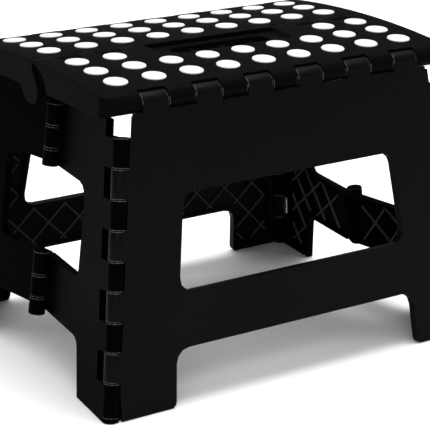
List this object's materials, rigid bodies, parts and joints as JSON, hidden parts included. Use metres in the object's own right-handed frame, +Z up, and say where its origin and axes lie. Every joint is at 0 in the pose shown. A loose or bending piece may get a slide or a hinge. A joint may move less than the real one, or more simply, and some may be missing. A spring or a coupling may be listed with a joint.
{
  "type": "folding step stool",
  "caption": "Low folding step stool: two hinged seat halves with round grip dots on splayed windowed panels, closed at each end by folding leaves, with a hand slot.",
  "frame": {"origin": "on the floor, at the middle of the open stool", "axes": "+X along the seat towards the right end, -Y towards the front, +Z up"},
  "size_m": [0.332, 0.2578, 0.2302],
  "materials": {
    "front_panel": "satin moulded plastic",
    "seat_front": "satin moulded plastic, fine texture",
    "grip_dots_front": "soft matt rubber",
    "edge_pin_front": "drawn wire",
    "leaf_front_left": "satin moulded plastic",
    "corner_pin_front_left": "drawn wire",
    "foot_pad_panel_front_left": "matt rubber",
    "foot_pad_leaf_front_left": "matt rubber",
    "leaf_front_right": "satin moulded plastic",
    "corner_pin_front_right": "drawn wire",
    "foot_pad_panel_front_right": "matt rubber",
    "foot_pad_leaf_front_right": "matt rubber",
    "rear_panel": "satin moulded plastic",
    "seat_rear": "satin moulded plastic, fine texture",
    "grip_dots_rear": "soft matt rubber",
    "edge_pin_rear": "drawn wire",
    "leaf_rear_left": "satin moulded plastic",
    "corner_pin_rear_left": "drawn wire",
    "foot_pad_panel_rear_left": "matt rubber",
    "foot_pad_leaf_rear_left": "matt rubber",
    "leaf_rear_right": "satin moulded plastic",
    "corner_pin_rear_right": "drawn wire",
    "foot_pad_panel_rear_right": "matt rubber",
    "foot_pad_leaf_rear_right": "matt rubber",
    "centre_pin_upper_left": "drawn wire",
    "centre_pin_lower_left": "drawn wire",
    "seam_pin_left": "drawn wire",
    "centre_pin_upper_right": "drawn wire",
    "centre_pin_lower_right": "drawn wire",
    "seam_pin_right": "drawn wire"
  },
  "bodies": {
    "front_panel": {"front_panel": "front_panel", "edge_pin_front": "edge_pin_front", "corner_pin_front_left": "corner_pin_front_left", "corner_pin_front_right": "corner_pin_front_right", "foot_pad_panel_front_left": "foot_pad_panel_front_left", "foot_pad_panel_front_right": "foot_pad_panel_front_right"},
    "leaf_front_left": {"leaf_front_left": "leaf_front_left", "foot_pad_leaf_front_left": "foot_pad_leaf_front_left", "centre_pin_upper_left": "centre_pin_upper_left", "centre_pin_lower_left": "centre_pin_lower_left"},
    "leaf_rear_left": {"leaf_rear_left": "leaf_rear_left", "foot_pad_leaf_rear_left": "foot_pad_leaf_rear_left"},
    "rear_panel": {"rear_panel": "rear_panel", "edge_pin_rear": "edge_pin_rear", "corner_pin_rear_left": "corner_pin_rear_left", "corner_pin_rear_right": "corner_pin_rear_right", "foot_pad_panel_rear_left": "foot_pad_panel_rear_left", "foot_pad_panel_rear_right": "foot_pad_panel_rear_right"},
    "leaf_front_right": {"leaf_front_right": "leaf_front_right", "foot_pad_leaf_front_right": "foot_pad_leaf_front_right", "centre_pin_upper_right": "centre_pin_upper_right", "centre_pin_lower_right": "centre_pin_lower_right"},
    "leaf_rear_right": {"leaf_rear_right": "leaf_rear_right", "foot_pad_leaf_rear_right": "foot_pad_leaf_rear_right"},
    "seat_front": {"seat_front": "seat_front", "grip_dots_front": "grip_dots_front", "seam_pin_left": "seam_pin_left", "seam_pin_right": "seam_pin_right"},
    "seat_rear": {"seat_rear": "seat_rear", "grip_dots_rear": "grip_dots_rear"}
  },
  "joints": [
    {"name": "left_front_corner", "type": "hinge", "parent": "front_panel", "child": "leaf_front_left", "pos_m": [-0.15985, -0.12268, 0], "axis": [-0.1304, -0.1243, -0.9836], "range_deg": [0, 83]},
    {"name": "left_centre", "type": "hinge", "parent": "leaf_front_left", "child": "leaf_rear_left", "pos_m": [-0.15528, 0, 0], "axis": [0.1268, 0, 0.9919], "range_deg": [0, 164.3]},
    {"name": "left_rear_corner", "type": "hinge", "parent": "leaf_rear_left", "child": "rear_panel", "pos_m": [-0.15985, 0.12268, 0], "axis": [-0.1304, 0.1243, -0.9836], "range_deg": [0, 83]},
    {"name": "right_front_corner", "type": "hinge", "parent": "front_panel", "child": "leaf_front_right", "pos_m": [0.15985, -0.12268, 0], "axis": [-0.1304, 0.1243, 0.9836], "range_deg": [0, 83]},
    {"name": "right_rear_corner", "type": "hinge", "parent": "rear_panel", "child": "leaf_rear_right", "pos_m": [0.15985, 0.12268, 0], "axis": [0.1304, 0.1243, -0.9836], "range_deg": [0, 83]},
    {"name": "seat_front_edge", "type": "hinge", "parent": "front_panel", "child": "seat_front", "pos_m": [0, -0.09465, 0.2155], "axis": [1, 0, 0], "range_deg": [0, 83]},
    {"name": "seat_rear_edge", "type": "hinge", "parent": "rear_panel", "child": "seat_rear", "pos_m": [0, 0.09465, 0.2155], "axis": [-1, 0, 0], "range_deg": [0, 83]}
  ],
  "couplings": [
    {"joint": "left_centre", "follows": "left_front_corner", "ratio": 1.9789},
    {"joint": "left_rear_corner", "follows": "left_front_corner", "ratio": 1},
    {"joint": "right_front_corner", "follows": "left_front_corner", "ratio": 1},
    {"joint": "right_rear_corner", "follows": "left_front_corner", "ratio": 1},
    {"joint": "seat_front_edge", "follows": "left_front_corner", "ratio": 1},
    {"joint": "seat_rear_edge", "follows": "left_front_corner", "ratio": 1}
  ]
}
